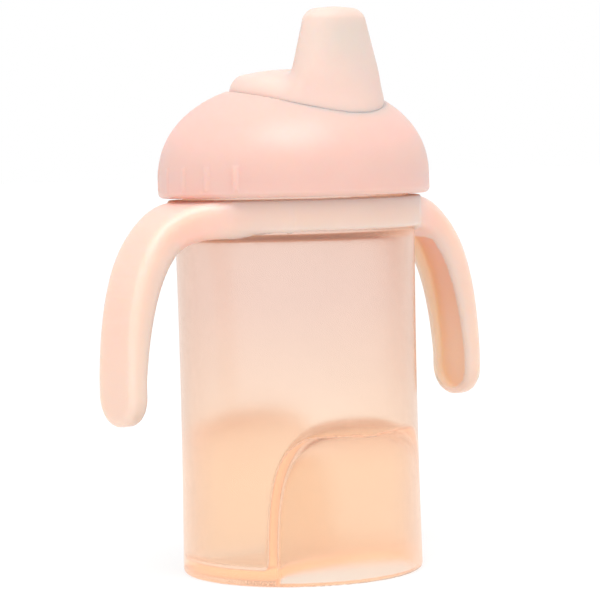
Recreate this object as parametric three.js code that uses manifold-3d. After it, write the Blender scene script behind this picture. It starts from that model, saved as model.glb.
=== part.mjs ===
// A two-handled sippy cup with a soft spout. Millimetres, +Z up, origin at the centre of the base.
// The spout faces -Y and the handles lie along +X and -X.
//
// From the bottom up: a translucent cup with a threaded neck, a handle ring that drops over the neck,
// a gasket on the rim, and a domed screw lid that carries a soft spout, its rigid retainer and two valves.
import * as THREE from "three";
import { mergeVertices } from "three/addons/utils/BufferGeometryUtils.js";
import Module from "manifold-3d";

const wasm = await Module();
wasm.setup();

// ---------------------------------------------------------------- driving dimensions
const GAP = 0.3; // smallest space between two pieces
const ROUND = 48; // sides of a turned piece

const CUP_WAIST = 32.6; // outer radius half way up
const CUP_FLARE = 0.5; // how much wider the cup is at its base than at its waist
const CUP_WAIST_Z = 52;
const WALL = 2.0;
const FLOOR_UNDER = 1.4; // the floor stands this far above the table, on a standing ring
const FLOOR_TOP = 3.8;
const SHOULDER_Z = 93.9; // the handle ring rests here
const BAND_R = 30.7; // the neck's plain band, inside the handle ring
const BAND_TOP = 103.2;
const NECK_R = 29.6; // root of the neck's thread
const NECK_IN = 27.8;
const NECK_TOP = 115.6;

const POCKET_Y = 21.8; // the middle of each base pocket, ahead of the cup's axis or behind it
const POCKET_HALF_X = 24.5;
const POCKET_HALF_Y = 9.6;
const POCKET_H = 41;
const POCKET_POWER = 3.1; // squareness of the pocket's vault

const THREAD_PITCH = 4.5;
const NECK_CREST = 30.7;
const COLLAR_CREST = 30.0;
const THREAD_Z = 105.2; // centre of the neck thread where it starts
const NECK_TURNS = 1.4;
const COLLAR_TURNS = 1.1;
const COLLAR_START = 0.32; // in turns along the same helix
const COLLAR_DROP = 2.0; // the lid's ridge pulls up against the neck's from below

const RING_BOTTOM = 94.2;
const RING_TOP = 102.3;
const RING_IN = 31.1;
const RING_OUT = 34.8;
const CLEAR_OF_CUP = 33.4; // the handles' roots keep this far out below the ring

const ROOT_Z = 97.3; // height of the handles' centreline at the ring
const ROOT_HALF_THICK = 4.8; // a little thicker than the ring is high
const GRIP_HALF_THICK = 2.9;
const BEND_EXTRA = 0.5; // how much more than that it is at the bend
const GRIP_HALF_WIDE = 8.0;
const GRIP_X = 58.3; // centreline of the hanging grip
const GRIP_TOP_Z = 56; // the grip hangs straight below this
const GRIP_END_Z = 51.9; // centre of the grip's rounded end
const GROOVE_RIM = 1.8; // the rim left each side of the hollow in a grip's inner face
const GROOVE_DEPTH = 2.6;
const FLARE_FROM_X = 48; // the handle widens from here in to the ring
const FLARE_TO_X = 21.7;
const FLARE_WIDE = 18.2;

const LID_R = 37.25;
const LID_BOTTOM = 103.2;
const DOME_Z = 107.8; // the dome springs from here
const DOME_H = 26.8;
const DOME_POWER = 2.2;
const LID_WALL = 2.0;
const COLLAR_IN = 31.1;
const COLLAR_OUT = 33.0;
const COLLAR_TOP = 122;
const LAND_BOTTOM = 117.6; // the ledge that presses on the gasket
const LAND_TOP = 119.4;
const LAND_IN = 27.0;
const RIB_STEP = THREE.MathUtils.degToRad(14);
const RIBS_A_SIDE = 5;

const ISLAND_Y = -6; // centre of the soft spout's oval base
const HOLE_X = 19.4;
const HOLE_Y = 23.5;
const ISLAND_LIFT = 3.1; // height of the oval base above the dome
const ISLAND_WALL = 3; // its side wall
const SOFT_WALL = 2.2; // its roof
const FLANGE = 2.0; // how far the soft piece reaches out under the dome
const FLANGE_THICK = 1.6;
const SPOUT_Y = -19.3;
const SPOUT_FLAT = 0.66; // depth of the spout over its width
const SPOUT_DRAFT = 0.264; // half width gained for each millimetre down
const SPOUT_TIP_HALF = 9.35;
const SPOUT_SIDE_TOP = 151.2;
const SPOUT_TIP = 153.65;
const SPOUT_WALL = 1.8;
const HOLE_STEP = 4; // the three drinking holes stand this far apart
const HOLE_R = 0.9;
const BREATHER_Y = 9;

const PLATE_TOP = 127.2; // the rigid retainer under the soft spout
const PLATE_THICK = 2;
const SOCKET_DEPTH = 8;
const SOCKET_WALL = 1.3;
const DRINK_Y = -14.5;
const AIR_Y = 5.5;
const DRINK_SOCKET_R = 6.2;
const AIR_SOCKET_R = 4.4;

// ---------------------------------------------------------------- solids and meshes
function solidOf(geometry) {
  const loose = geometry.index ? geometry.toNonIndexed() : geometry;
  const bare = new THREE.BufferGeometry().setAttribute("position", loose.getAttribute("position"));
  const merged = mergeVertices(bare, 1e-4);
  const vertProperties = new Float32Array(merged.attributes.position.array);
  const triVerts = new Uint32Array(merged.index.array);
  const make = () => new wasm.Manifold(new wasm.Mesh({ numProp: 3, vertProperties, triVerts }));
  const made = make();
  if (made.volume() > 0) return made;
  for (let i = 0; i < triVerts.length; i += 3) {
    [triVerts[i + 1], triVerts[i + 2]] = [triVerts[i + 2], triVerts[i + 1]];
  }
  return make();
}

function geometryOf(solid) {
  const { vertProperties, triVerts, numProp, numVert } = solid.getMesh();
  const positions = new Float32Array(numVert * 3);
  for (let i = 0; i < numVert; i++) {
    positions.set(vertProperties.subarray(i * numProp, i * numProp + 3), i * 3);
  }
  const geometry = new THREE.BufferGeometry();
  geometry.setAttribute("position", new THREE.BufferAttribute(positions, 3));
  geometry.setIndex(new THREE.BufferAttribute(triVerts, 1));
  const flat = geometry.toNonIndexed();
  flat.computeVertexNormals();
  return flat;
}

// A profile of [radius, height] points turned about +Z.
function turned(profile, sides = ROUND) {
  const points = profile.map(([r, z]) => new THREE.Vector2(r, z));
  return solidOf(new THREE.LatheGeometry(points, sides).rotateX(Math.PI / 2));
}

// A ring with a rectangular section.
function ringSolid(inner, outer, bottom, top, sides = ROUND) {
  return turned([[inner, bottom], [outer, bottom], [outer, top], [inner, top], [inner, bottom]], sides);
}

function discSolid(radius, bottom, top, sides = ROUND) {
  return turned([[0, bottom], [radius, bottom], [radius, top], [0, top]], sides);
}

// An upright oval column, half as wide as halfX and halfY, centred on the line x = 0, y = centreY.
function ovalColumn(halfX, halfY, centreY, bottom, top, sides = ROUND) {
  const geometry = new THREE.CylinderGeometry(1, 1, top - bottom, sides).rotateX(Math.PI / 2);
  return solidOf(geometry.scale(halfX, halfY, 1).translate(0, centreY, (bottom + top) / 2));
}

// A skin over a list of rings, each a list of as many Vector3, closed by a fan at each end.
function lofted(rings) {
  const positions = [];
  const face = (...corners) => corners.forEach((c) => positions.push(c.x, c.y, c.z));
  const sides = rings[0].length;
  for (let k = 0; k + 1 < rings.length; k++) {
    for (let i = 0; i < sides; i++) {
      const j = (i + 1) % sides;
      face(rings[k][i], rings[k][j], rings[k + 1][j]);
      face(rings[k][i], rings[k + 1][j], rings[k + 1][i]);
    }
  }
  for (const [ring, flip] of [[rings[0], true], [rings[rings.length - 1], false]]) {
    const middle = new THREE.Vector3();
    ring.forEach((p) => middle.addScaledVector(p, 1 / sides));
    for (let i = 0; i < sides; i++) {
      const j = (i + 1) % sides;
      if (flip) face(middle, ring[j], ring[i]);
      else face(middle, ring[i], ring[j]);
    }
  }
  const geometry = new THREE.BufferGeometry();
  geometry.setAttribute("position", new THREE.BufferAttribute(new Float32Array(positions), 3));
  return solidOf(geometry);
}

// A thread ridge that winds up by THREAD_PITCH a turn, tapered off at both ends.
function threadRidge(rootR, crestR, rootZ, fromTurn, turns) {
  const steps = Math.round(turns * 40);
  const fade = 4; // steps over which each end grows to full height
  const rootHalf = 1.0;
  const crestHalf = 0.5;
  const rings = [];
  for (let k = 0; k <= steps; k++) {
    const turn = fromTurn + (turns * k) / steps;
    const angle = turn * 2 * Math.PI;
    const z = rootZ + turn * THREAD_PITCH;
    const grown = Math.min(1, (Math.min(k, steps - k) + 1) / (fade + 1));
    const tip = rootR + (crestR - rootR) * (0.35 + 0.65 * grown);
    const section = [[rootR, -rootHalf], [tip, -crestHalf], [tip, crestHalf], [rootR, rootHalf]];
    rings.push(
      section.map(([r, dz]) => new THREE.Vector3(r * Math.cos(angle), r * Math.sin(angle), z + dz)),
    );
  }
  return lofted(rings);
}

// ---------------------------------------------------------------- shared curves
const cupRadius = (z) => CUP_WAIST + CUP_FLARE * ((z - CUP_WAIST_Z) / CUP_WAIST_Z) ** 2;

const domeHeight = (r, inset = 0) => {
  const share = Math.min(1, r / (LID_R - inset));
  return DOME_Z + (DOME_H - inset) * (1 - share ** DOME_POWER) ** (1 / DOME_POWER);
};

// The dome as a solid down to `bottom`, shrunk by `inset` all over.
function domeSolid(inset, bottom, steps = 12) {
  const profile = [[0, bottom], [LID_R - inset, bottom]];
  for (let k = 0; k <= steps; k++) {
    const a = (k / steps) * (Math.PI / 2);
    const r = (LID_R - inset) * Math.cos(a) ** (2 / DOME_POWER);
    profile.push([k === steps ? 0 : r, DOME_Z + (DOME_H - inset) * Math.sin(a) ** (2 / DOME_POWER)]);
  }
  return turned(profile);
}

// ---------------------------------------------------------------- cup
// A base pocket is an oval vault, grown by `grow` where the cup's own wall has to clear it.
function pocketSolid(grow, side) {
  const steps = 12;
  const profile = [[0, -5], [1, -5]];
  for (let k = 0; k <= steps; k++) {
    const a = (k / steps) * (Math.PI / 2);
    const out = k === steps ? 0 : Math.cos(a) ** (2 / POCKET_POWER);
    profile.push([out, (POCKET_H + grow) * Math.sin(a) ** (2 / POCKET_POWER)]);
  }
  const vault = turned(profile).scale([POCKET_HALF_X + grow, POCKET_HALF_Y + grow, 1]);
  return vault.translate([0, side * POCKET_Y, 0]);
}

function cupBody() {
  const outside = [[0, FLOOR_UNDER], [28.6, FLOOR_UNDER], [29.6, 0], [cupRadius(0) - 0.9, 0]];
  const inside = [[0, FLOOR_TOP], [cupRadius(5) - WALL - 2.5, FLOOR_TOP]];
  for (const z of [0.9, 26, 52, 76]) outside.push([cupRadius(z), z]);
  for (const z of [FLOOR_TOP + 2.5, 26, 52, 76]) inside.push([cupRadius(z) - WALL, z]);
  outside.push([cupRadius(SHOULDER_Z), SHOULDER_Z], [BAND_R, SHOULDER_Z], [BAND_R, BAND_TOP]);
  outside.push([NECK_R, BAND_TOP + 0.8], [NECK_R, NECK_TOP - 0.6], [NECK_R - 0.6, NECK_TOP], [0, NECK_TOP]);
  inside.push([cupRadius(88) - WALL, 88], [NECK_IN, SHOULDER_Z], [NECK_IN, NECK_TOP + 1], [0, NECK_TOP + 1]);

  let chamber = turned(inside);
  let pockets = pocketSolid(0, -1).add(pocketSolid(0, 1));
  chamber = chamber.subtract(pocketSolid(WALL, -1)).subtract(pocketSolid(WALL, 1));
  pockets = pockets.intersect(discSolid(CUP_WAIST - WALL + 0.3, -6, POCKET_H + 5));
  const thread = threadRidge(NECK_R - 0.6, NECK_CREST, THREAD_Z, 0, NECK_TURNS);
  return turned(outside).subtract(chamber).subtract(pockets).add(thread);
}

// ---------------------------------------------------------------- handle ring
function handleCentreline() {
  const path = new THREE.CurvePath();
  const root = new THREE.Vector3(34, 0, ROOT_Z);
  const gripTop = new THREE.Vector3(GRIP_X, 0, GRIP_TOP_Z);
  const outward = new THREE.Vector3(root.x + 14.5, 0, ROOT_Z);
  const above = new THREE.Vector3(GRIP_X - 1.8, 0, GRIP_TOP_Z + 28);
  path.add(new THREE.LineCurve3(new THREE.Vector3(FLARE_TO_X, 0, ROOT_Z), root));
  path.add(new THREE.CubicBezierCurve3(root, outward, above, gripTop));
  path.add(new THREE.LineCurve3(gripTop, new THREE.Vector3(GRIP_X, 0, GRIP_END_Z - GRIP_HALF_WIDE)));
  return path;
}

// One handle, swept down its centreline as a rounded strap that widens towards the ring.
function strapSolid() {
  const path = handleCentreline();
  const sides = 20;
  const squareness = 0.65;
  const stations = [];
  for (let k = 0; k <= 4; k++) stations.push([0, k / 4]);
  for (let k = 1; k <= 14; k++) stations.push([1, k / 14]);
  for (const t of [0.3, 0.55, 0.75, 0.9, 0.98]) stations.push([2, t]);
  const rings = stations.map(([piece, t]) => {
    const curve = path.curves[piece];
    const at = curve.getPoint(t);
    const along = curve.getTangent(t);
    const outward = new THREE.Vector3(-along.z, 0, along.x);
    const flare = Math.max(0, (FLARE_FROM_X - at.x) / (FLARE_FROM_X - FLARE_TO_X));
    const bend = piece === 0 ? 0 : piece === 1 ? t : 1;
    let wide = GRIP_HALF_WIDE + FLARE_WIDE * flare ** 1.7;
    let thick = THREE.MathUtils.lerp(ROOT_HALF_THICK, GRIP_HALF_THICK, bend);
    thick += BEND_EXTRA * Math.sin(bend * Math.PI);
    const past = GRIP_END_Z - at.z;
    if (past > 0) {
      const share = Math.sqrt(Math.max(0, 1 - (past / GRIP_HALF_WIDE) ** 2));
      wide *= share;
      thick *= share ** 0.5;
    }
    return Array.from({ length: sides }, (_, i) => {
      const a = (i / sides) * 2 * Math.PI;
      const c = Math.cos(a);
      const s = Math.sin(a);
      const point = at.clone().addScaledVector(outward, thick * Math.sign(c) * Math.abs(c) ** squareness);
      point.y += wide * Math.sign(s) * Math.abs(s) ** squareness;
      return point;
    });
  });
  return lofted(rings);
}

// The hollow down the inner face of a grip, open towards the cup.
function grooveSolid() {
  const path = handleCentreline();
  const halfWide = GRIP_HALF_WIDE - GROOVE_RIM;
  const bottom = GRIP_END_Z - halfWide;
  const stations = [];
  for (let k = 4; k <= 14; k++) stations.push([1, k / 14]);
  for (const t of [0.3, 0.6, 0.8, 0.95]) stations.push([2, t]);
  const rings = stations.map(([piece, t]) => {
    const at = path.curves[piece].getPoint(t);
    const along = path.curves[piece].getTangent(t);
    const inward = new THREE.Vector3(along.z, 0, -along.x);
    if (piece === 2) at.z = THREE.MathUtils.lerp(GRIP_TOP_Z, bottom, t);
    const past = Math.max(0, GRIP_END_Z - at.z);
    const wide = Math.max(0.5, Math.sqrt(Math.max(0, halfWide ** 2 - past ** 2)));
    const deep = at.clone().addScaledVector(inward, GRIP_HALF_THICK - GROOVE_DEPTH);
    const mouth = at.clone().addScaledVector(inward, ROOT_HALF_THICK + 3);
    const corner = (p, y) => new THREE.Vector3(p.x, y, p.z);
    return [corner(deep, -wide + 0.5), corner(mouth, -wide), corner(mouth, wide), corner(deep, wide - 0.5)];
  });
  return lofted(rings);
}

function handleSolid() {
  return strapSolid().subtract(grooveSolid());
}

function handleRing() {
  const band = turned([
    [RING_IN - 2, RING_BOTTOM],
    [RING_OUT - 0.9, RING_BOTTOM],
    [RING_OUT - 0.3, RING_BOTTOM + 0.8],
    [RING_OUT, RING_TOP - 0.8],
    [RING_OUT - 0.7, RING_TOP],
    [RING_IN - 2, RING_TOP],
    [RING_IN - 2, RING_BOTTOM],
  ]);
  const right = handleSolid();
  const left = right.rotate([0, 0, 180]);
  const trimmed = right.add(left).subtract(ringSolid(20, LID_R + 4, RING_TOP, RING_TOP + 5));
  const whole = band.add(trimmed).subtract(discSolid(RING_IN, 80, 110));
  return whole.subtract(discSolid(CLEAR_OF_CUP, 60, RING_BOTTOM));
}

// ---------------------------------------------------------------- lid
function gripRibs() {
  let ribs = null;
  for (const side of [0, Math.PI]) {
    for (let k = 0; k < RIBS_A_SIDE; k++) {
      const angle = side + (k - (RIBS_A_SIDE - 1) / 2) * RIB_STEP;
      const box = new THREE.BoxGeometry(1.3, 0.9, 9.6).translate(LID_R - 0.35, 0, LID_BOTTOM + 6.6);
      const rib = solidOf(box.rotateZ(angle));
      ribs = ribs ? ribs.add(rib) : rib;
    }
  }
  return ribs.intersect(domeSolid(-0.3, LID_BOTTOM));
}

function screwLid() {
  const cornerCut = turned([
    [LID_R - 1.6, LID_BOTTOM - 1],
    [LID_R + 2, LID_BOTTOM - 1],
    [LID_R + 2, LID_BOTTOM + 1.6],
    [LID_R, LID_BOTTOM + 1.6],
    [LID_R - 0.5, LID_BOTTOM + 0.5],
    [LID_R - 1.6, LID_BOTTOM],
    [LID_R - 1.6, LID_BOTTOM - 1],
  ]);
  const shell = domeSolid(0, LID_BOTTOM).add(gripRibs()).subtract(cornerCut);
  const collar = ringSolid(COLLAR_IN, COLLAR_OUT, LID_BOTTOM + 0.2, COLLAR_TOP);
  const land = ringSolid(LAND_IN, COLLAR_OUT - 0.5, LAND_BOTTOM, LAND_TOP);
  const insides = domeSolid(LID_WALL, LID_BOTTOM - 5).subtract(collar).subtract(land);
  const hole = ovalColumn(HOLE_X, HOLE_Y, ISLAND_Y, LAND_TOP + 1.8, 150);
  const ridgeZ = THREAD_Z - COLLAR_DROP;
  const ridge = threadRidge(COLLAR_IN + 0.6, COLLAR_CREST, ridgeZ, COLLAR_START, COLLAR_TURNS);
  return shell.subtract(insides).subtract(hole).add(ridge);
}

function lidGasket() {
  return ringSolid(LAND_IN + 0.6, COLLAR_IN - 0.5, NECK_TOP + GAP, LAND_BOTTOM - GAP);
}

// ---------------------------------------------------------------- soft spout
// A column under the dome's surface raised by `lift`, oval in plan, for the island and for its hollow.
function islandSolid(halfX, halfY, lift, bottom) {
  const sides = 40;
  const shares = [1, 0.985, 0.94, 0.86, 0.7, 0.4];
  const ring = (share, z) =>
    Array.from({ length: sides }, (_, i) => {
      const a = (i / sides) * 2 * Math.PI;
      const x = halfX * share * Math.cos(a);
      const y = ISLAND_Y + halfY * share * Math.sin(a);
      const raised = domeHeight(Math.hypot(x, y)) + lift * (1 - share ** 5) ** 0.6;
      return new THREE.Vector3(x, y, z ?? raised);
    });
  return lofted([ring(1, bottom), ...shares.map((share) => ring(share))]);
}

// The spout's outside or, grown inwards, its channel.
function spoutSolid(inset, bottom) {
  const half = (z) => SPOUT_TIP_HALF - inset + SPOUT_DRAFT * (SPOUT_SIDE_TOP - z);
  const sideTop = SPOUT_SIDE_TOP - inset;
  const profile = [[0, bottom], [half(bottom), bottom], [half(sideTop), sideTop]];
  const steps = 5;
  for (let k = 1; k <= steps; k++) {
    const a = (k / steps) * (Math.PI / 2);
    const crown = SPOUT_TIP - SPOUT_SIDE_TOP;
    profile.push([k === steps ? 0 : half(sideTop) * Math.cos(a), sideTop + crown * Math.sin(a)]);
  }
  const upright = turned(profile, 40);
  return upright.scale([1, SPOUT_FLAT, 1]).translate([0, SPOUT_Y, 0]);
}

function softSpout() {
  const halfX = HOLE_X - GAP;
  const halfY = HOLE_Y - GAP;
  const island = islandSolid(halfX, halfY, ISLAND_LIFT, LAND_TOP + 0.4);
  const flange = ovalColumn(halfX + FLANGE, halfY + FLANGE, ISLAND_Y, LAND_TOP + 0.4, 150);
  const inHole = ovalColumn(halfX - 0.1, halfY - 0.1, ISLAND_Y, 125, 160, 40);
  const underDome = domeSolid(LID_WALL + GAP, 100);
  const flangeFloor = domeSolid(LID_WALL + GAP + FLANGE_THICK, 100);
  const hollowX = halfX - ISLAND_WALL;
  const hollowY = halfY - ISLAND_WALL;
  const hollow = islandSolid(hollowX, hollowY, ISLAND_LIFT, 118).translate([0, 0, -SOFT_WALL]);
  let soft = island.add(flange.intersect(underDome)).add(spoutSolid(0, 129).intersect(inHole));
  soft = soft.subtract(flangeFloor).subtract(hollow);
  soft = soft.subtract(ringSolid(30.2, 60, 100, COLLAR_TOP + GAP));
  const withinWall = ovalColumn(hollowX, hollowY, ISLAND_Y, 120, 160, 40);
  soft = soft.subtract(spoutSolid(SPOUT_WALL, 124).intersect(withinWall));
  for (const k of [-1, 0, 1]) {
    soft = soft.subtract(discSolid(HOLE_R, 145, 156, 12).translate([k * HOLE_STEP, SPOUT_Y, 0]));
  }
  return soft.subtract(discSolid(HOLE_R, 126, 140, 12).translate([0, BREATHER_Y, 0]));
}

// ---------------------------------------------------------------- inside the soft spout
// A rigid plate that braces the soft piece in the lid's hole and holds the two valves in sockets.
function spoutRetainer() {
  const halfX = HOLE_X - GAP - ISLAND_WALL - 0.4;
  const halfY = HOLE_Y - GAP - ISLAND_WALL - 0.4;
  let plate = ovalColumn(halfX, halfY, ISLAND_Y, PLATE_TOP - PLATE_THICK, PLATE_TOP);
  const ceiling = islandSolid(halfX, halfY, ISLAND_LIFT, 118).translate([0, 0, -SOFT_WALL - 0.4]);
  for (const [y, r] of [[DRINK_Y, DRINK_SOCKET_R], [AIR_Y, AIR_SOCKET_R]]) {
    const outside = discSolid(r + SOCKET_WALL, PLATE_TOP - SOCKET_DEPTH, PLATE_TOP, 32);
    const bore = discSolid(r, PLATE_TOP - SOCKET_DEPTH - 1, PLATE_TOP + 1, 32);
    plate = plate.add(outside.translate([0, y, 0])).subtract(bore.translate([0, y, 0]));
  }
  return plate.intersect(ceiling);
}

// A soft cup pushed up into a socket, with a slit across its roof and a rim to pull it out by.
function socketValve(socketR, y, slitLength) {
  const r = socketR - 0.35;
  const inside = r - 1;
  const rim = socketR + 1.6;
  const rimTop = PLATE_TOP - SOCKET_DEPTH - GAP;
  const rimBottom = rimTop - 1.6;
  const body = turned(
    [
      [inside, rimBottom],
      [rim, rimBottom],
      [rim, rimTop],
      [r, rimTop],
      [r, PLATE_TOP - 0.6],
      [r * 0.55, PLATE_TOP + 0.6],
      [0, PLATE_TOP + 0.9],
      [0, PLATE_TOP - 0.1],
      [r * 0.5, PLATE_TOP - 0.5],
      [inside, PLATE_TOP - 1.4],
      [inside, rimBottom],
    ],
    32,
  );
  const slit = solidOf(new THREE.BoxGeometry(slitLength, 0.35, 6).translate(0, 0, PLATE_TOP));
  return body.subtract(slit).translate([0, y, 0]);
}

// ---------------------------------------------------------------- the assembly
const PEACH = 0xf3c4b0;
const materials = {
  cup: new THREE.MeshStandardMaterial({ color: 0xf6c39a, roughness: 0.25, metalness: 0 }),
  shell: new THREE.MeshStandardMaterial({ color: PEACH, roughness: 0.45, metalness: 0 }),
  soft: new THREE.MeshStandardMaterial({ color: 0xefcabb, roughness: 0.6, metalness: 0 }),
  clear: new THREE.MeshStandardMaterial({ color: 0xf2ece6, roughness: 0.5, metalness: 0 }),
};

const cup = new THREE.Group();
function add(name, solid, material) {
  const mesh = new THREE.Mesh(geometryOf(solid), material);
  mesh.name = name;
  cup.add(mesh);
}

add("cup_body", cupBody(), materials.cup);
add("handle_ring", handleRing(), materials.shell);
add("lid_gasket", lidGasket(), materials.clear);
add("screw_lid", screwLid(), materials.shell);
add("soft_spout", softSpout(), materials.soft);
add("spout_retainer", spoutRetainer(), materials.shell);
add("drink_valve", socketValve(DRINK_SOCKET_R, DRINK_Y, 7), materials.clear);
add("air_valve", socketValve(AIR_SOCKET_R, AIR_Y, 4.4), materials.clear);

export default cup;
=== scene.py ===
"""The looks of the two-handled sippy cup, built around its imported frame.

Each outer piece is described by a field: a function of x, y and z in millimetres that is negative inside the
piece, zero on its surface and positive outside. mesh_of() turns a field into a closed mesh of even quads.
"""
import math

import bpy
import numpy as np
from mathutils import Euler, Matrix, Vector

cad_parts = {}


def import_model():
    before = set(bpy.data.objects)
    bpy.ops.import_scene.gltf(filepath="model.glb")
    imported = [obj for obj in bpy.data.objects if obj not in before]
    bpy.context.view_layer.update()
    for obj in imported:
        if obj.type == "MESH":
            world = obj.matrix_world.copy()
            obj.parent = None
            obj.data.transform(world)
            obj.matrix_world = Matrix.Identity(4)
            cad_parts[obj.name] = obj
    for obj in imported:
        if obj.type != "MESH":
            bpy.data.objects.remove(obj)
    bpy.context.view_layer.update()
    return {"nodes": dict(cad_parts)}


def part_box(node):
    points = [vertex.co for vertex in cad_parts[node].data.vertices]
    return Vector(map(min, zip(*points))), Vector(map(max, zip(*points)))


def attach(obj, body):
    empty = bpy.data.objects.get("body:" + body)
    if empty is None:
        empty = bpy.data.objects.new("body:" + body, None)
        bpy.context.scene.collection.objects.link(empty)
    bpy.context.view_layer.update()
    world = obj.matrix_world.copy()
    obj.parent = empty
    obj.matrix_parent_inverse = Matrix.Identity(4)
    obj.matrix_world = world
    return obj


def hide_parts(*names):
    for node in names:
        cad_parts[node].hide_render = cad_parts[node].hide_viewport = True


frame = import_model()

MM = 0.001


# ---------------------------------------------------------------- sizes, from the frame, in millimetres
def corners(node):
    low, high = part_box(node)
    return np.array(low) / MM, np.array(high) / MM


CUP_LOW, CUP_HIGH = corners("cup_body")
RING_LOW, RING_HIGH = corners("handle_ring")
LID_LOW, LID_HIGH = corners("screw_lid")
SPOUT_LOW, SPOUT_HIGH = corners("soft_spout")

WALL = 2.0
NECK_TOP = CUP_HIGH[2]
NECK_R = 29.6
NECK_IN = 27.8
BAND_R = 30.7
BAND_TOP = 103.2
CORE_R = 20.0
CORE_FOOT_Z = 80.0
SHOULDER_Z = 93.9
NARROW_FROM_Z = 91.2
NARROW_TO_Z = 96.0
RECESS_R = 29.2
FLOOR_UNDER = 1.4
FLOOR_TOP = 3.8
CUP_FLARE = 0.5
CUP_WAIST = CUP_HIGH[0] - CUP_FLARE
CUP_WAIST_Z = 52.0

POCKET_Y = 21.8
POCKET_HALF_X = 24.5
POCKET_HALF_Y = 9.6
POCKET_H = 41.0
POCKET_POWER = 3.1

THREAD_PITCH = 4.5
THREAD_Z = 105.2
NECK_TURNS = 1.4
NECK_CREST = 30.7
COLLAR_TURNS = 1.1
COLLAR_START = 0.32
COLLAR_DROP = 2.0
COLLAR_CREST = 30.0
CREST_HALF = 0.75
FLANK_SLOPE = 0.25

RING_RAISE = 0.6
RING_TOP = RING_HIGH[2] + RING_RAISE
RING_BOTTOM = 94.2
RING_IN = 31.1
RING_OUT = RING_HIGH[1]
CLEAR_OF_CUP = 33.4

ROOT_X = 34.0
ROOT_Z = 97.3
ROOT_HALF_THICK = 4.8
GRIP_HALF_THICK = 2.9
BEND_EXTRA = 0.5
GRIP_HALF_WIDE = 8.0
GROOVE_RIM = 1.8
GROOVE_DEPTH = 2.6
GROOVE_FROM = 0.3
GROOVE_FADE = 28.0
GRIP_X = RING_HIGH[0] - GRIP_HALF_THICK
GRIP_TOP_Z = 56.0
GRIP_END_Z = RING_LOW[2] + GRIP_HALF_WIDE
FLARE_FROM_X = 48.0
FLARE_TO_X = 21.7
FLARE_WIDE = 18.2
FLARE_POWER = 1.7
HANDLE_INNER_R = 26.0
BEND_REACH = 14.5
BEND_DROP = 28.0
BEND_IN = 1.8
BEND_STEPS = 41

LID_R = LID_HIGH[1]
LID_BOTTOM = LID_LOW[2]
DOME_Z = 107.8
DOME_H = 26.8
DOME_POWER = 2.2
LID_WALL = 2.0
COLLAR_IN = 31.1
COLLAR_OUT = 33.0
COLLAR_TOP = 122.0
LAND_BOTTOM = 117.6
LAND_TOP = 119.4
LAND_IN = 27.0
RIB_STEP = math.radians(14)
RIBS_A_SIDE = 5
RIB_HIGH = 0.2
RIB_HALF_WIDE = 0.6
RIB_JOIN = 0.6
RIB_FOOT = 2.0
RIB_FADE_FROM = 6.0
RIB_FADE_TO = 12.0

ISLAND_Y = -6.0
HOLE_X = 19.4
HOLE_Y = 23.5
ISLAND_LIFT = 3.1
ISLAND_WALL = 3.0
SOFT_WALL = 2.2
FLANGE = 2.0
FLANGE_THICK = 1.6
GAP = 0.3
SPOUT_Y = -19.3
SPOUT_FLAT = 0.66
SPOUT_DRAFT = 0.264
SPOUT_TIP_HALF = 9.35
SPOUT_TIP = SPOUT_HIGH[2]
SPOUT_CROWN = 0.012
SHOULDER_BELOW_TIP = 2.45
CHANNEL_WALL = 1.8
TIP_WALL = 1.9
CHANNEL_FOOT_Z = 124.0
COLLAR_CLEAR_R = 30.2
HOLE_STEP = 4.0
HOLE_R = 0.9
HOLES_FROM_Z = 145.0
BREATHER_Y = 9.0


# ---------------------------------------------------------------- joining fields
def smooth_max(a, b, k):
    """The larger of two fields, with a fillet of about k where they meet."""
    h = np.clip(0.5 + 0.5 * (a - b) / k, 0, 1)
    return b + (a - b) * h + k * h * (1 - h)


def smooth_min(a, b, k):
    """The smaller of two fields, with a fillet of about k where they meet."""
    return -smooth_max(-a, -b, k)


def cut(a, b, k):
    """Field a without field b."""
    return smooth_max(a, -b, k)


def rounded(u, v, k):
    """The inside of two walls u and v, with a round corner of radius k."""
    outer = np.hypot(np.maximum(u + k, 0), np.maximum(v + k, 0))
    return outer + np.minimum(np.maximum(u + k, v + k), 0) - k


def ring_field(r, z, inner, outer, bottom, top, k):
    """A ring about the z axis, with corners of radius k."""
    across = np.abs(r - (inner + outer) / 2) - (outer - inner) / 2
    up = np.abs(z - (bottom + top) / 2) - (top - bottom) / 2
    return rounded(across, up, k)


def smoothstep(low, high, v):
    """0 below low, 1 above high, and an even rise between them."""
    t = np.clip((v - low) / (high - low), 0, 1)
    return t * t * (3 - 2 * t)


def thread_field(x, y, z, root_r, crest_r, root_z, start, turns):
    """A ridge that winds up from root_z, between start and start + turns, on a wall of radius root_r."""
    r = np.hypot(x, y)
    turn = np.arctan2(y, x) / (2 * math.pi)
    lap = np.round((z - root_z) / THREAD_PITCH - turn)
    along = turn + lap
    inside = np.clip(along, start, start + turns)
    beyond = np.abs(along - inside) * 2 * math.pi * r
    height = np.abs(z - root_z - inside * THREAD_PITCH)
    out = (r - crest_r) * np.sign(crest_r - root_r)
    section = rounded(out, height - CREST_HALF - FLANK_SLOPE * out, 0.35)
    back = (root_r - r) * np.sign(crest_r - root_r) - 0.6
    return np.maximum(smooth_max(section, beyond - 1.0, 0.8), back)


# ---------------------------------------------------------------- from a field to a mesh
def gradient(field, p, e=0.02):
    """The field's slope at the points p, measured over e each way."""
    steps = np.eye(3) * e
    rise = [field(*(p + s).T) - field(*(p - s).T) for s in steps]
    return np.stack(rise, 1) / (2 * e)


def settle(field, p, rounds):
    """Moves points onto the field's surface."""
    for _ in range(rounds):
        g = gradient(field, p)
        slope = np.maximum((g * g).sum(1), 0.05)
        shift = (field(*p.T) / slope)[:, None] * g
        p = p - np.clip(shift, -0.5, 0.5)
    return p


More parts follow.
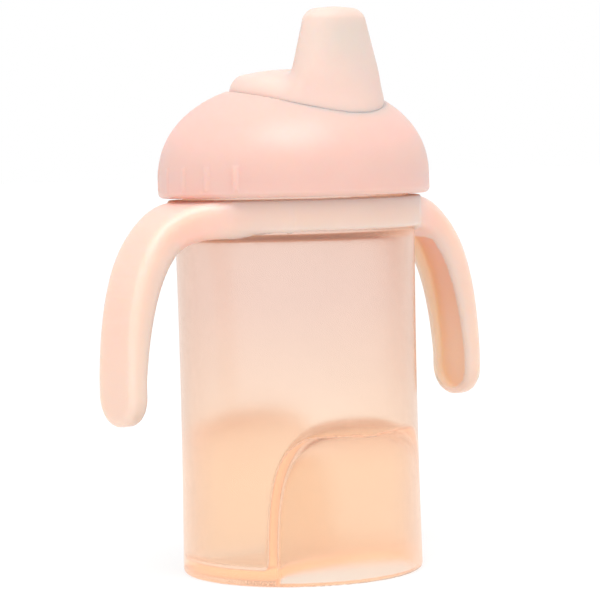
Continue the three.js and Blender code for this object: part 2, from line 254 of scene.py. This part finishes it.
def relax(p, quads, share):
    """Moves each point towards the middle of its neighbours."""
    total = np.zeros_like(p)
    count = np.zeros(len(p))
    for k in range(4):
        a = quads[:, k]
        b = quads[:, (k + 1) % 4]
        np.add.at(total, a, p[b])
        np.add.at(total, b, p[a])
        np.add.at(count, a, 1)
        np.add.at(count, b, 1)
    return p + share * (total / count[:, None] - p)


def surface_nets(field, low, high, step):
    """Points and quads of the field's surface: one point in each grid cell that it passes through."""
    axes = [np.arange(lo - 2 * step, hi + 2.5 * step, step) for lo, hi in zip(low, high)]
    grid = np.meshgrid(*axes, indexing="ij", sparse=True)
    inside = np.broadcast_to(field(*grid), [len(a) for a in axes]) < 0
    cell = tuple(slice(0, n - 1) for n in inside.shape)
    some = np.zeros([n - 1 for n in inside.shape], bool)
    every = np.ones_like(some)
    for i in (0, 1):
        for j in (0, 1):
            for k in (0, 1):
                part = inside[tuple(slice(o, c.stop + o) for o, c in zip((i, j, k), cell))]
                some |= part
                every &= part
    mixed = some & ~every
    number = np.full(mixed.shape, -1)
    number[mixed] = np.arange(mixed.sum())
    origin = np.array([a[0] for a in axes])
    points = origin + (np.argwhere(mixed) + 0.5) * step

    quads = []
    for axis in range(3):
        side_a, side_b = (axis + 1) % 3, (axis + 2) % 3
        here = np.moveaxis(inside, axis, 0)
        change = here[1:] != here[:-1]
        at = np.argwhere(change)
        enters = here[1:][change]
        order = [axis] + [a for a in range(3) if a != axis]
        ijk = np.empty_like(at)
        for column, a in enumerate(order):
            ijk[:, a] = at[:, column]
        loop = []
        for back_a, back_b in ((0, 0), (1, 0), (1, 1), (0, 1)):
            c = ijk.copy()
            c[:, side_a] -= back_a
            c[:, side_b] -= back_b
            loop.append(number[tuple(c.T)])
        quad = np.stack(loop, 1)
        quad[enters] = quad[enters][:, ::-1]
        quads.append(quad)
    return points, np.concatenate(quads)


def shading(field, points, mesh):
    """The field's own directions at the points, or the mesh's where an edge is too tight to follow."""
    own = np.empty(3 * len(points), np.float32)
    mesh.vertex_normals.foreach_get("vector", own)
    own = own.reshape(-1, 3)
    exact = gradient(field, points)
    exact /= np.maximum(np.linalg.norm(exact, axis=1), 1e-6)[:, None]
    trust = smoothstep(0.95, 0.995, (own * exact).sum(1))[:, None]
    mixed = own + trust * (exact - own)
    return mixed / np.linalg.norm(mixed, axis=1)[:, None]


def mesh_of(name, field, low, high, step):
    """A smooth-shaded object on the field's surface inside the box low..high, all in millimetres."""
    points, quads = surface_nets(field, low, high, step)
    points = settle(field, points, 3)
    for _ in range(3):
        points = settle(field, relax(points, quads, 0.5), 1)
    points = settle(field, points, 2)
    mesh = bpy.data.meshes.new(name)
    mesh.from_pydata((points * MM).tolist(), [], quads.tolist())
    mesh.update()
    mesh.polygons.foreach_set("use_smooth", np.ones(len(quads), bool))
    mesh.normals_split_custom_set_from_vertices(shading(field, points, mesh).tolist())
    piece = bpy.data.objects.new(name, mesh)
    bpy.context.scene.collection.objects.link(piece)
    return piece


# ---------------------------------------------------------------- the cup
def cup_radius(z):
    """The outside of the cup, slightly waisted."""
    return CUP_WAIST + CUP_FLARE * ((z - CUP_WAIST_Z) / CUP_WAIST_Z) ** 2


def pocket_field(x, y, z, grow):
    """Either of the two oval vaults under the base, told apart by the sign of y."""
    half_x = POCKET_HALF_X + grow
    half_y = POCKET_HALF_Y + grow
    across = x / half_x
    deep = (np.abs(y) - POCKET_Y) / half_y
    out = np.maximum(np.hypot(across, deep), 1e-6)
    up = np.maximum(z, 0) / (POCKET_H + grow)
    size = (out**POCKET_POWER + up**POCKET_POWER) ** (1 / POCKET_POWER)
    slope_out = (out / size) ** (POCKET_POWER - 1) * np.hypot(across / half_x, deep / half_y) / out
    slope_up = (up / size) ** (POCKET_POWER - 1) / (POCKET_H + grow)
    return (size - 1) / np.maximum(np.hypot(slope_out, slope_up), 0.01)


def cup_field(x, y, z):
    """A solid body and neck, less the chamber, the base pockets and the recess inside the standing rim."""
    r = np.hypot(x, y)
    wall = r - cup_radius(z)
    body = smooth_max(rounded(wall, z - SHOULDER_Z, 1.2), -z, 1.5)
    neck = ring_field(r, z, CORE_R, NECK_R, CORE_FOOT_Z, NECK_TOP, 0.8)
    band = ring_field(r, z, CORE_R, BAND_R, CORE_FOOT_Z, BAND_TOP, 0.6)
    solid = smooth_min(body, smooth_min(neck, band, 0.5), 0.6)

    narrow = smoothstep(NARROW_FROM_Z, NARROW_TO_Z, z)
    inner_r = (cup_radius(z) - WALL) * (1 - narrow) + NECK_IN * narrow
    chamber = smooth_max(r - inner_r, FLOOR_TOP - z, 3.0)
    chamber = cut(chamber, pocket_field(x, y, z, WALL), 2.0)
    solid = cut(solid, chamber, 0.7)
    pocket = smooth_max(pocket_field(x, y, z, 0), wall + WALL, 2.0)
    solid = cut(solid, pocket, 1.2)
    recess = rounded(r - RECESS_R, z - FLOOR_UNDER, 1.0)
    solid = cut(solid, recess, 0.9)
    thread = thread_field(x, y, z, NECK_R, NECK_CREST, THREAD_Z, 0, NECK_TURNS)
    return smooth_min(solid, thread, 0.3)


# ---------------------------------------------------------------- the handle ring
def bezier(points, t):
    """Points at the shares t along a cubic curve."""
    a, b, c, d = (np.array(p) for p in points)
    t = t[:, None]
    return a * (1 - t) ** 3 + 3 * b * t * (1 - t) ** 2 + 3 * c * t * t * (1 - t) + d * t**3


def handle_centreline():
    """Points down the middle of a handle, in x and z, and how far along the bend each is, 0 to 1."""
    t = np.linspace(0, 1, BEND_STEPS)
    root = (ROOT_X, ROOT_Z)
    level = (ROOT_X + BEND_REACH, ROOT_Z)
    upright = (GRIP_X - BEND_IN, GRIP_TOP_Z + BEND_DROP)
    grip = (GRIP_X, GRIP_TOP_Z)
    bend = bezier([root, level, upright, grip], t)
    start = np.array([(FLARE_TO_X, ROOT_Z)])
    end = np.array([(GRIP_X, GRIP_END_Z - 2 * GRIP_HALF_WIDE)])
    return np.concatenate([start, bend, end]), np.concatenate([[0], t, [1]])


CENTRELINE, BEND = handle_centreline()


def handle_field(x, y, z):
    """A strap that bends down from the ring, ends round and is hollow on its inner face. x is outwards."""
    best = None
    for k in range(len(CENTRELINE) - 1):
        a, b = CENTRELINE[k], CENTRELINE[k + 1]
        run = b - a
        t = np.clip(((x - a[0]) * run[0] + (z - a[1]) * run[1]) / (run @ run), 0, 1)
        at_x = a[0] + t * run[0]
        at_z = a[1] + t * run[1]
        distance = np.hypot(x - at_x, z - at_z)
        outside = (z - at_z) * run[0] > (x - at_x) * run[1]
        offset = np.where(outside, distance, -distance)
        bend = BEND[k] + t * (BEND[k + 1] - BEND[k])
        found = [distance, offset, bend, at_x, at_z]
        if best is None:
            best = found
            continue
        nearer = distance < best[0]
        best = [np.where(nearer, new, old) for new, old in zip(found, best)]
    distance, offset, bend, at_x, at_z = best
    thick = ROOT_HALF_THICK + (GRIP_HALF_THICK - ROOT_HALF_THICK) * bend
    thick = thick + BEND_EXTRA * np.sin(bend * math.pi)
    flare = np.clip((FLARE_FROM_X - at_x) / (FLARE_FROM_X - FLARE_TO_X), 0, 1.3)
    half_wide = GRIP_HALF_WIDE + np.where(bend < 0.9, FLARE_WIDE * flare**FLARE_POWER, 0)
    past = np.maximum(GRIP_END_Z - at_z, 0)
    strap = rounded(distance - thick, np.hypot(past, y) - half_wide, 0.6 * thick)
    rim = np.hypot(past, y) - (GRIP_HALF_WIDE - GROOVE_RIM)
    floor_of_groove = offset + GRIP_HALF_THICK - GROOVE_DEPTH
    groove = smooth_max(rounded(floor_of_groove, rim, 1.0), (GROOVE_FROM - bend) * GROOVE_FADE, 1.5)
    return cut(strap, groove, 0.8)


def ring_and_handles_field(x, y, z):
    """The ring with a handle on each side, cut back to clear the neck and the cup's shoulder."""
    r = np.hypot(x, y)
    band = ring_field(r, z, RING_IN - 3, RING_OUT, RING_BOTTOM, RING_TOP, 0.7)
    handle = smooth_max(handle_field(np.abs(x), y, z), HANDLE_INNER_R - r, 1.0)
    whole = smooth_min(band, handle, 2.0)
    whole = smooth_max(whole, z - RING_TOP, 1.0)
    whole = cut(whole, r - RING_IN, 0.5)
    return cut(whole, np.maximum(r - CLEAR_OF_CUP, z - RING_BOTTOM), 0.4)


# ---------------------------------------------------------------- the lid
def dome_height(r):
    """How high the dome's outside is, at r from the axis."""
    share = np.clip(r / LID_R, 0, 1)
    return DOME_Z + DOME_H * (1 - share**DOME_POWER) ** (1 / DOME_POWER)


def dome_field(r, z, inset):
    """The inside of the dome, drawn in by inset."""
    out = r / (LID_R - inset)
    up = np.maximum(z - DOME_Z, 0) / (DOME_H - inset)
    size = np.maximum(out**DOME_POWER + up**DOME_POWER, 1e-6) ** (1 / DOME_POWER)
    slope_out = (out / size) ** (DOME_POWER - 1) / (LID_R - inset)
    slope_up = (up / size) ** (DOME_POWER - 1) / (DOME_H - inset)
    return (size - 1) / np.maximum(np.hypot(slope_out, slope_up), 0.01)


def oval_field(x, y, half_x, half_y):
    """An upright oval column about the island's centre."""
    u = x / half_x
    v = (y - ISLAND_Y) / half_y
    size = np.maximum(np.hypot(u, v), 1e-6)
    slope = np.hypot(u / half_x, v / half_y) / size
    return (size - 1) / np.maximum(slope, 0.01)


def rib_field(x, y, z):
    """Five slim upright ribs on each handle side of the skirt, which fade out towards the dome."""
    r = np.hypot(x, y)
    angle = np.arctan2(y, np.abs(x))
    nearest = np.clip(np.round(angle / RIB_STEP), -(RIBS_A_SIDE // 2), RIBS_A_SIDE // 2)
    across = np.abs(angle - nearest * RIB_STEP) * r
    fade = 1 - smoothstep(RIB_FADE_FROM, RIB_FADE_TO, z - LID_BOTTOM)
    out = np.abs(r - LID_R) + RIB_JOIN - (RIB_JOIN + RIB_HIGH) * fade
    return rounded(np.maximum(out, across - RIB_HALF_WIDE), LID_BOTTOM + RIB_FOOT - z, 0.3)


def lid_field(x, y, z):
    """The domed shell with its ribs, the threaded collar and the land inside it, and the oval hole."""
    r = np.hypot(x, y)
    shell = rounded(dome_field(r, z, 0), LID_BOTTOM - z, 1.5)
    shell = smooth_min(shell, rib_field(x, y, z), RIB_JOIN)
    inside = dome_field(r, z, LID_WALL)
    collar = ring_field(r, z, COLLAR_IN, COLLAR_OUT, LID_BOTTOM + 0.3, COLLAR_TOP, 0.6)
    land = ring_field(r, z, LAND_IN, COLLAR_OUT - 0.5, LAND_BOTTOM, LAND_TOP, 0.5)
    shell = cut(shell, inside, 0.6)
    inner = smooth_max(smooth_min(collar, land, 0.5), inside - 0.6, 0.3)
    whole = smooth_min(shell, inner, 0.5)
    ridge = thread_field(
        x, y, z, COLLAR_IN, COLLAR_CREST, THREAD_Z - COLLAR_DROP, COLLAR_START, COLLAR_TURNS
    )
    whole = smooth_min(whole, ridge, 0.3)
    hole = smooth_max(oval_field(x, y, HOLE_X, HOLE_Y), LAND_TOP + 1.8 - z, 0.3)
    return cut(whole, hole, 0.7)


# ---------------------------------------------------------------- the soft spout
def island_field(x, y, z, half_x, half_y, lift):
    """The raised oval under the spout: its roof follows the dome, lifted, and rolls over into its side."""
    r = np.hypot(x, y)
    side = oval_field(x, y, half_x, half_y)
    roof = (z - dome_height(r) - lift) * 0.86
    return rounded(side, roof, 3.4)


def spout_field(x, y, z, inset, tip):
    """The flattened, tapering spout with a softly domed tip."""
    half = SPOUT_TIP_HALF - inset + SPOUT_DRAFT * (SPOUT_TIP - SHOULDER_BELOW_TIP - z)
    u = x
    v = (y - SPOUT_Y) / SPOUT_FLAT
    size = np.maximum(np.hypot(u, v), 1e-6)
    slope = np.hypot(u, v / SPOUT_FLAT) / size
    side = (size - half) / np.maximum(slope, 0.3) * 0.96
    crown = tip - SPOUT_CROWN * (u * u + v * v)
    return rounded(side, z - crown, 2.2)


def soft_field(x, y, z):
    """The spout on its oval island, with the flange under the lid, the hollow, the channel and the holes."""
    r = np.hypot(x, y)
    half_x = HOLE_X - GAP
    half_y = HOLE_Y - GAP
    island = island_field(x, y, z, half_x, half_y, ISLAND_LIFT)
    spout = spout_field(x, y, z, 0, SPOUT_TIP)
    spout = smooth_max(spout, oval_field(x, y, half_x - 0.1, half_y - 0.1), 0.8)
    solid = smooth_min(island, spout, 3.0)
    flange = oval_field(x, y, half_x + FLANGE, half_y + FLANGE)
    flange = smooth_max(flange, dome_field(r, z, LID_WALL + GAP), 0.4)
    solid = smooth_min(solid, flange, 0.3)
    under = dome_field(r, z, LID_WALL + GAP + FLANGE_THICK)
    hollow_x = half_x - ISLAND_WALL
    hollow_y = half_y - ISLAND_WALL
    hollow = island_field(x, y, z + SOFT_WALL, hollow_x, hollow_y, ISLAND_LIFT)
    solid = cut(solid, smooth_min(under, hollow, 0.5), 0.5)
    solid = cut(solid, ring_field(r, z, COLLAR_CLEAR_R, 60, 100, COLLAR_TOP + GAP, 0.2), 0.3)
    solid = smooth_max(solid, LAND_TOP + 0.4 - z, 0.3)
    channel = spout_field(x, y, z, CHANNEL_WALL, SPOUT_TIP - TIP_WALL)
    within = oval_field(x, y, hollow_x, hollow_y)
    solid = cut(solid, smooth_max(smooth_max(channel, within, 1.0), CHANNEL_FOOT_Z - z, 0.5), 0.6)
    for k in (-1, 0, 1):
        hole = np.hypot(x - k * HOLE_STEP, y - SPOUT_Y) - HOLE_R
        solid = cut(solid, np.maximum(hole, HOLES_FROM_Z - z), 0.4)
    breather = np.hypot(x, y - BREATHER_Y) - HOLE_R
    return cut(solid, breather, 0.4)


# ---------------------------------------------------------------- materials
def plastic(name, color, roughness, grain_depth=0.06):
    """A moulded plastic: Principled, with faint mottling of the colour and a fine bump."""
    material = bpy.data.materials.new(name)
    material.use_nodes = True
    tree = material.node_tree
    shader = tree.nodes["Principled BSDF"]
    shader.inputs["Roughness"].default_value = roughness
    place = tree.nodes.new("ShaderNodeTexCoord")
    cloud = tree.nodes.new("ShaderNodeTexNoise")
    cloud.inputs["Scale"].default_value = 45
    cloud.inputs["Detail"].default_value = 3
    tree.links.new(place.outputs["Object"], cloud.inputs["Vector"])
    tint = tree.nodes.new("ShaderNodeValToRGB")
    tint.color_ramp.elements[0].position = 0.3
    tint.color_ramp.elements[1].position = 0.7
    tint.color_ramp.elements[0].color = (*[c * 0.975 for c in color], 1)
    tint.color_ramp.elements[1].color = (*color, 1)
    tree.links.new(cloud.outputs["Fac"], tint.inputs["Fac"])
    tree.links.new(tint.outputs["Color"], shader.inputs["Base Color"])
    grain = tree.nodes.new("ShaderNodeTexNoise")
    grain.inputs["Scale"].default_value = 2200
    grain.inputs["Detail"].default_value = 2
    tree.links.new(place.outputs["Object"], grain.inputs["Vector"])
    bump = tree.nodes.new("ShaderNodeBump")
    bump.inputs["Strength"].default_value = grain_depth
    bump.inputs["Distance"].default_value = 0.0001
    tree.links.new(grain.outputs["Fac"], bump.inputs["Height"])
    tree.links.new(bump.outputs["Normal"], shader.inputs["Normal"])
    return material, tree, shader


def srgb(r, g, b):
    """A colour given as it looks on a screen, 0 to 255, in the linear values that shaders take."""

    def linear(c):
        c /= 255
        return c / 12.92 if c <= 0.04045 else ((c + 0.055) / 1.055) ** 2.4

    return linear(r), linear(g), linear(b)


def cup_material():
    """Clear peach plastic, pinker towards the top, with a painted orange glow: its volume emits light of its
    own, standing in for light carried far inside it.
    """
    material, tree, shader = plastic("translucent_peach", (1, 1, 1), 0.26, 0.004)
    shader.inputs["IOR"].default_value = 1.45
    shader.inputs["Transmission Weight"].default_value = 1.0
    place = tree.nodes.new("ShaderNodeTexCoord")
    axes = tree.nodes.new("ShaderNodeSeparateXYZ")
    tree.links.new(place.outputs["Object"], axes.inputs["Vector"])
    height = tree.nodes.new("ShaderNodeMapRange")
    height.inputs["From Min"].default_value = 0.03
    height.inputs["From Max"].default_value = 0.075
    tree.links.new(axes.outputs["Z"], height.inputs["Value"])
    hue = tree.nodes.new("ShaderNodeValToRGB")
    hue.color_ramp.elements[0].color = (1.0, 0.92, 0.83, 1)
    hue.color_ramp.elements[1].color = (0.91, 0.815, 0.785, 1)
    tree.links.new(height.outputs["Result"], hue.inputs["Fac"])
    both = tree.nodes.new("ShaderNodeMixRGB")
    both.blend_type = "MULTIPLY"
    both.inputs["Fac"].default_value = 1
    tree.links.new(shader.inputs["Base Color"].links[0].from_socket, both.inputs["Color1"])
    tree.links.new(hue.outputs["Color"], both.inputs["Color2"])
    tree.links.new(both.outputs["Color"], shader.inputs["Base Color"])

    tinted = tree.nodes.new("ShaderNodeVolumeAbsorption")
    tinted.inputs["Color"].default_value = (0.75, 0.3, 0.0, 1)
    tinted.inputs["Density"].default_value = 50
    # Painted glow: the plastic's volume emits orange light of its own, standing in for light carried through
    # the walls.
    painted_glow = tree.nodes.new("ShaderNodeEmission")
    painted_glow.inputs["Color"].default_value = (1.0, 0.77, 0.6, 1)
    painted_glow.inputs["Strength"].default_value = 34
    inside = tree.nodes.new("ShaderNodeAddShader")
    tree.links.new(tinted.outputs["Volume"], inside.inputs[0])
    tree.links.new(painted_glow.outputs["Emission"], inside.inputs[1])
    tree.links.new(inside.outputs["Shader"], tree.nodes["Material Output"].inputs["Volume"])
    return material


def shell_material(name, color, depth):
    """Peach plastic that light passes some way into, redder the deeper it goes."""
    material, _, shader = plastic(name, color, 0.36)
    shader.inputs["Subsurface Weight"].default_value = 1.0
    shader.inputs["Subsurface Radius"].default_value = (1.0, 0.65, 0.45)
    shader.inputs["Subsurface Scale"].default_value = depth
    return material


def soft_material():
    """The spout's matt silicone."""
    material, _, shader = plastic("peach_silicone", srgb(229, 201, 190), 0.5)
    shader.inputs["Subsurface Weight"].default_value = 1.0
    shader.inputs["Subsurface Radius"].default_value = (1.0, 0.6, 0.45)
    shader.inputs["Subsurface Scale"].default_value = 0.004
    return material


def clear_material():
    """The milky silicone of the gasket and the valves."""
    material, _, shader = plastic("milky_silicone", srgb(240, 236, 230), 0.45)
    shader.inputs["Subsurface Weight"].default_value = 0.5
    shader.inputs["Subsurface Scale"].default_value = 0.003
    return material


# ---------------------------------------------------------------- putting it together
def show(piece, body, node, material):
    """Gives a piece its material, the body it moves with, and the CAD node that it stands in for."""
    piece.data.materials.clear()
    piece.data.materials.append(material)
    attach(piece, body)
    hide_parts(node)


FINE = 1.0
CUP_MAT = cup_material()
LID_MAT = shell_material("peach_lid", srgb(251, 190, 179), 0.006)
RING_MAT = shell_material("peach_ring", srgb(249, 197, 184), 0.016)
SOFT_MAT = soft_material()
CLEAR_MAT = clear_material()

cup = mesh_of("cup_shell", cup_field, CUP_LOW, CUP_HIGH, 0.9 * FINE)
show(cup, "cup", "cup_body", CUP_MAT)
ring = mesh_of("grip_ring", ring_and_handles_field, RING_LOW, RING_HIGH, 0.8 * FINE)
show(ring, "handles", "handle_ring", RING_MAT)
lid = mesh_of("lid_shell", lid_field, LID_LOW, LID_HIGH, 0.6 * FINE)
show(lid, "lid", "screw_lid", LID_MAT)
soft = mesh_of("drinking_spout", soft_field, SPOUT_LOW, SPOUT_HIGH, 0.6 * FINE)
show(soft, "lid", "soft_spout", SOFT_MAT)

for node, material in (
    ("lid_gasket", CLEAR_MAT),
    ("spout_retainer", LID_MAT),
    ("drink_valve", CLEAR_MAT),
    ("air_valve", CLEAR_MAT),
):
    mesh = frame["nodes"][node].data
    mesh.materials.clear()
    mesh.materials.append(material)


# ---------------------------------------------------------------- floor, light and camera
def floor():
    """A pale table, lit from inside as well, so that the object stands in almost no shadow."""
    mesh = bpy.data.meshes.new("studio_floor")
    half = 12.0
    sheet = [(-half, -half, 0), (half, -half, 0), (half, half, 0), (-half, half, 0)]
    mesh.from_pydata(sheet, [], [(0, 1, 2, 3)])
    piece = bpy.data.objects.new("studio_floor", mesh)
    bpy.context.scene.collection.objects.link(piece)
    material = bpy.data.materials.new("studio_floor")
    material.use_nodes = True
    shader = material.node_tree.nodes["Principled BSDF"]
    shader.inputs["Base Color"].default_value = (0.25, 0.25, 0.25, 1)
    shader.inputs["Roughness"].default_value = 0.9
    shader.inputs["Emission Color"].default_value = (1, 1, 1, 1)
    shader.inputs["Emission Strength"].default_value = 0.72
    mesh.materials.append(material)


def world(seen, shed):
    """A white backdrop of brightness seen, also through clear plastic, that lights the rest by shed."""
    scene_world = bpy.data.worlds.new("studio")
    scene_world.use_nodes = True
    tree = scene_world.node_tree
    background = tree.nodes["Background"]
    background.inputs["Color"].default_value = (1, 1, 1, 1)
    path = tree.nodes.new("ShaderNodeLightPath")
    strength = tree.nodes.new("ShaderNodeMapRange")
    strength.inputs["To Min"].default_value = shed
    strength.inputs["To Max"].default_value = seen
    direct = tree.nodes.new("ShaderNodeMath")
    direct.operation = "MAXIMUM"
    tree.links.new(path.outputs["Is Camera Ray"], direct.inputs[0])
    tree.links.new(path.outputs["Is Transmission Ray"], direct.inputs[1])
    tree.links.new(direct.outputs["Value"], strength.inputs["Value"])
    tree.links.new(strength.outputs["Result"], background.inputs["Strength"])
    bpy.context.scene.world = scene_world


def softbox(name, place, target, size, watts):
    light = bpy.data.lights.new(name, "AREA")
    light.shape = "RECTANGLE"
    light.size, light.size_y = size
    light.energy = watts
    lamp = bpy.data.objects.new(name, light)
    lamp.location = place
    lamp.rotation_euler = (Vector(target) - Vector(place)).to_track_quat("-Z", "Y").to_euler()
    bpy.context.scene.collection.objects.link(lamp)


def sun(name, towards, strength, spread):
    light = bpy.data.lights.new(name, "SUN")
    light.energy = strength
    light.angle = math.radians(spread)
    lamp = bpy.data.objects.new(name, light)
    lamp.rotation_euler = Vector(towards).to_track_quat("-Z", "Y").to_euler()
    bpy.context.scene.collection.objects.link(lamp)


CAMERA_AZIMUTH = math.radians(-38)
CAMERA_DISTANCE = 0.700
CAMERA_HEIGHT = 0.1136
CAMERA_PITCH = math.radians(3.21)
CAMERA_ROLL = math.radians(1.45)
LENS_MM = 152.7
SENSOR_MM = 36.0
SHIFT_X = 0.0057
LIGHT_BOUNCES = 48


def camera():
    data = bpy.data.cameras.new("camera")
    data.lens = LENS_MM
    data.sensor_width = SENSOR_MM
    data.shift_x = SHIFT_X
    view = bpy.data.objects.new("camera", data)
    view.location = (
        CAMERA_DISTANCE * math.sin(CAMERA_AZIMUTH),
        -CAMERA_DISTANCE * math.cos(CAMERA_AZIMUTH),
        CAMERA_HEIGHT,
    )
    upright = Euler((math.pi / 2 - CAMERA_PITCH, 0, CAMERA_AZIMUTH)).to_matrix()
    roll = Euler((0, 0, -CAMERA_ROLL)).to_matrix()
    view.rotation_euler = (upright @ roll).to_euler()
    bpy.context.scene.collection.objects.link(view)
    bpy.context.scene.camera = view


floor()
world(1.0, 0.8)
softbox("top_left", (-0.6, -0.3, 1.0), (0, 0, 0.1), (0.6, 0.6), 3.0)
sun("even_light", (0.24, 0.48, -1.0), 1.38, 40)
camera()
bpy.context.scene.cycles.max_bounces = LIGHT_BOUNCES
bpy.context.scene.cycles.transmission_bounces = LIGHT_BOUNCES
bpy.context.scene.view_settings.view_transform = "Standard"
